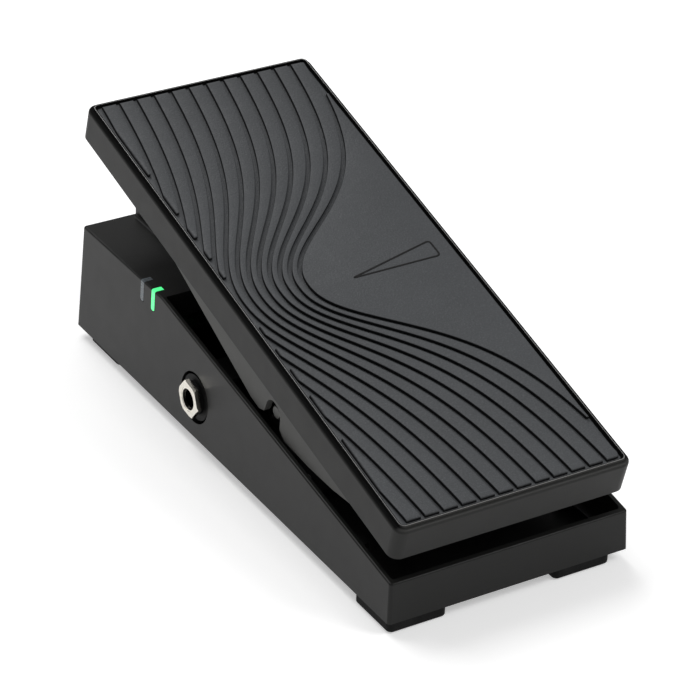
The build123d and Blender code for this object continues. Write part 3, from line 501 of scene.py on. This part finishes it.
def rib_edge(at, inward, side_lean, width, end_drop):
    """Points (u, w) from a rib's foot up over one rounded top edge."""
    radius = BORDER_ROUND if side_lean == 0.0 else EDGE_ROUND
    reach = min(radius * max(1.0, side_lean), width * WIDEST_ROUND)
    points = [(at, RIB_FOOT)]
    for share in ROUND_STEPS:
        drop = max(round_profile(share * radius, radius), end_drop)
        points.append((at + inward * share * reach, max(RIB_TOP - drop, RIB_FOOT)))
    return points


def rib_rows(shape, index, v_values):
    """One closed rib over a run of stations."""
    first, last = v_values[0], v_values[-1]
    stations = [first + step for step in END_STEPS]
    stations += [v for v in v_values if first + END_CLEAR < v < last - END_CLEAR]
    stations += [last - step for step in reversed(END_STEPS)]
    rows = []
    for v in stations:
        left, right, left_lean, right_lean = rib_sides(index, v)
        if v < (first + last) / 2:
            at_border = first <= RIB_LOW + CLOSE
        else:
            at_border = last >= RIB_HIGH - CLOSE
        end_round = BORDER_ROUND if at_border else EDGE_ROUND
        end_drop = round_profile(min(v - first, last - v), end_round)
        width = right - left
        row = rib_edge(left, 1, left_lean, width, end_drop)
        row += reversed(rib_edge(right, -1, right_lean, width, end_drop))
        rows.append([shape.verts.new(on_treadle(u, v, w)) for u, w in row])
    grid_faces(shape, rows, closed_columns=True)
    shape.faces.new(rows[0])
    shape.faces.new(rows[-1])


def rib_runs(index):
    """Stretches of the treadle where a rib is wide enough to exist."""
    runs, run = [], []
    count = int((RIB_HIGH - RIB_LOW) / STATION)
    for i in range(count + 1):
        v = RIB_LOW + (RIB_HIGH - RIB_LOW) * i / count
        left, right, _, _ = rib_sides(index, v)
        if right - left > NARROWEST_RIB:
            run.append(v)
        elif run:
            runs.append(run)
            run = []
    if run:
        runs.append(run)
    return [r for r in runs if r[-1] - r[0] > SHORTEST_RIB]


def mat_floor(shape):
    """The mat under its ribs, as a closed tray."""
    def outline(inset, corner):
        low = MAT_END + inset
        return rounded_outline(MAT_HALF - inset, low, TREADLE_LENGTH - low, corner)

    edge = outline(0.0, MAT_CORNER)
    field = rounded_outline(
        RIB_HALF - FLOOR_INSET, RIB_LOW + FLOOR_INSET, RIB_HIGH - FLOOR_INSET, FLOOR_CORNER)
    levels = (
        (edge, MAT_BOTTOM),
        (edge, GROOVE_FLOOR - BEVEL_DOWN),
        (outline(BEVEL_IN, BEVEL_CORNER), GROOVE_FLOOR),
        (field, GROOVE_FLOOR),
    )
    rows = [[shape.verts.new(on_treadle(u, v, w)) for u, v in points] for points, w in levels]
    grid_faces(shape, rows, closed_columns=True)
    shape.faces.new(rows[0])
    shape.faces.new(rows[-1])


def mat_mesh(shape):
    mat_floor(shape)
    for index in RIBS:
        for run in rib_runs(index):
            rib_rows(shape, index, run)


mat = new_piece("ribbed_mat", looks["mat_rubber"], "treadle")
fill_piece(mat, mat_mesh, smooth_degrees=50.0)
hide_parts("treadle_mat")

# the tray's rim takes the mat rubber without the painted groove shade: it is steep, but not
# shaded like a groove's wall
RIM_TOP = GROOVE_FLOOR + 0.05
mat.data.materials.append(looks["mat_edge"])
for face in mat.data.polygons:
    height = (face.center - origin).dot(normal) / MM
    if height < RIM_TOP and len(face.vertices) == 4:
        face.material_index = 1


# ---------------------------------------------------------------- ramp mark
MARK_CORNERS = ((0.0, 107.6), (35.0, 107.6), (35.0, 115.4))     # (u, v)
MARK_ROUND = 1.6            # how far from a corner its rounding starts
MARK_STEPS = 6
MARK_HALF_LINE = 0.36
MARK_HEIGHT = 0.14
# section of the raised line: shares of its half width and of its height
MARK_SECTION = ((1.0, -0.3), (1.0, 0.5), (0.7, 1.0), (-0.7, 1.0), (-1.0, 0.5), (-1.0, -0.3))


def mark_path():
    """The ramp's outline, with rounded corners."""
    points = []
    for index, corner in enumerate(MARK_CORNERS):
        here = Vector(corner)
        before = Vector(MARK_CORNERS[index - 1])
        after = Vector(MARK_CORNERS[(index + 1) % len(MARK_CORNERS)])
        start = here + (before - here).normalized() * MARK_ROUND
        end = here + (after - here).normalized() * MARK_ROUND
        for step in range(MARK_STEPS + 1):
            t = step / MARK_STEPS
            points.append(start * (1 - t) ** 2 + here * 2 * t * (1 - t) + end * t * t)
    return points


def sweep(shape, path, section):
    """A closed piece: a section (outward, w) carried round an anticlockwise path (u, v)."""
    rows = []
    for index, (u, v) in enumerate(path):
        before, after = path[index - 1], path[(index + 1) % len(path)]
        tangent = Vector((after[0] - before[0], after[1] - before[1])).normalized()
        outward = Vector((tangent.y, -tangent.x))
        rows.append([
            shape.verts.new(on_treadle(u + outward.x * reach, v + outward.y * reach, w))
            for reach, w in section
        ])
    grid_faces(shape, rows, closed_rows=True, closed_columns=True)


def mark_mesh(shape):
    """Raised outline of a plain ramp, moulded on the smooth part of the mat."""
    section = [(reach * MARK_HALF_LINE, RIB_TOP + rise * MARK_HEIGHT)
               for reach, rise in MARK_SECTION]
    sweep(shape, mark_path(), section)


mark = new_piece("ramp_mark", looks["black_rubber"], "treadle")
fill_piece(mark, mark_mesh, smooth_degrees=30.0)


# ---------------------------------------------------------------- treadle lip
LIP_RADIUS = 0.32
LIP_INSET = 1.95            # in from the treadle's outline
LIP_CORNER = 1.9
LIP_CORNER_STEPS = 14
LIP_STEPS = 8
LIP_BASE = 0.2


def lip_mesh(shape):
    """Rounded lip that runs round the mat."""
    outline = rounded_outline(TREADLE_HALF - LIP_INSET, LIP_INSET, TREADLE_LENGTH - LIP_INSET,
                              LIP_CORNER, LIP_CORNER_STEPS)
    section = []
    for step in range(LIP_STEPS + 1):
        angle = math.pi * step / LIP_STEPS
        section.append((LIP_RADIUS * math.cos(angle), LIP_BASE + LIP_RADIUS * math.sin(angle)))
    sweep(shape, outline, section)


# the lip's pale colour is a painted highlight
lip = new_piece("treadle_lip", looks["treadle_lip"], "treadle")
fill_piece(lip, lip_mesh, smooth_degrees=60.0)


# ---------------------------------------------------------------- stage, light, camera
FLOOR_REACH = 4.0
FLOOR_GAP = 0.0002          # the floor lies this far under the feet
FLOOR_GLOW = 0.42
WORLD_LIGHT = 0.22
WHITE = (1.0, 1.0, 1.0)

CAMERA_TARGET = Vector((8.505, 7.829, 30.0)) * MM
CAMERA_DISTANCE = 1.1228
CAMERA_AZIMUTH = math.radians(-32.193)
CAMERA_ELEVATION = math.radians(30.330)
CAMERA_ROLL = math.radians(2.212)
CAMERA_LENS = 167.14
CAMERA_SENSOR = 36.0


def studio_floor():
    g = Graph("studio_floor")
    white = g.ramp(g.noise(1.5, 2.0), NOISE_MIDDLE, (0.90, 0.90, 0.90), (0.92, 0.92, 0.92))
    g.set(Base_Color=white, Roughness=0.9, Specular_IOR_Level=0.1)
    g.set(Emission_Color=WHITE, Emission_Strength=FLOOR_GLOW)
    mesh = bpy.data.meshes.new("floor")
    floor = bpy.data.objects.new("floor", mesh)
    bpy.context.scene.collection.objects.link(floor)
    shape = bmesh.new()
    bmesh.ops.create_grid(shape, x_segments=2, y_segments=2, size=FLOOR_REACH)
    shape.to_mesh(mesh)
    shape.free()
    floor.location.z = -FLOOR_GAP
    mesh.materials.append(g.material)


def area_light(name, place, aim, size, power):
    """Square softbox."""
    data = bpy.data.lights.new(name, "AREA")
    data.size = size
    data.energy = power
    light = bpy.data.objects.new(name, data)
    bpy.context.scene.collection.objects.link(light)
    light.location = place
    direction = Vector(aim) - Vector(place)
    light.rotation_euler = direction.to_track_quat("-Z", "Y").to_euler()


def world_light(strength):
    world = bpy.data.worlds.new("studio")
    bpy.context.scene.world = world
    world.use_nodes = True
    background = world.node_tree.nodes["Background"]
    background.inputs["Color"].default_value = (*WHITE, 1.0)
    background.inputs["Strength"].default_value = strength


def add_camera():
    """Long lens, from the left of the heel and above."""
    off = Vector((
        math.sin(CAMERA_AZIMUTH) * math.cos(CAMERA_ELEVATION),
        -math.cos(CAMERA_AZIMUTH) * math.cos(CAMERA_ELEVATION),
        math.sin(CAMERA_ELEVATION),
    ))
    right = (-off).cross(Vector((0, 0, 1))).normalized()
    up = right.cross(-off)
    turned_right = math.cos(CAMERA_ROLL) * right + math.sin(CAMERA_ROLL) * up
    turned_up = -math.sin(CAMERA_ROLL) * right + math.cos(CAMERA_ROLL) * up
    data = bpy.data.cameras.new("camera")
    data.sensor_width = CAMERA_SENSOR
    data.lens = CAMERA_LENS
    data.clip_start, data.clip_end = 0.05, 20.0
    camera = bpy.data.objects.new("camera", data)
    bpy.context.scene.collection.objects.link(camera)
    turn = Matrix((turned_right, turned_up, off)).transposed().to_4x4()
    camera.matrix_world = Matrix.Translation(CAMERA_TARGET + off * CAMERA_DISTANCE) @ turn
    bpy.context.scene.camera = camera


bpy.context.scene.view_settings.view_transform = "Standard"
studio_floor()
world_light(WORLD_LIGHT)
area_light("key", place=(-0.3, 1.1, 1.95), aim=(0, 0, 0.03), size=1.3, power=25)
area_light("rear", place=(0.35, 0.95, 1.2), aim=(0, 0.1, 0.05), size=0.5, power=2.3)
area_light("front", place=(0.62, -0.68, 0.98), aim=(0, -0.05, 0.05), size=0.5, power=5.0)
add_camera()
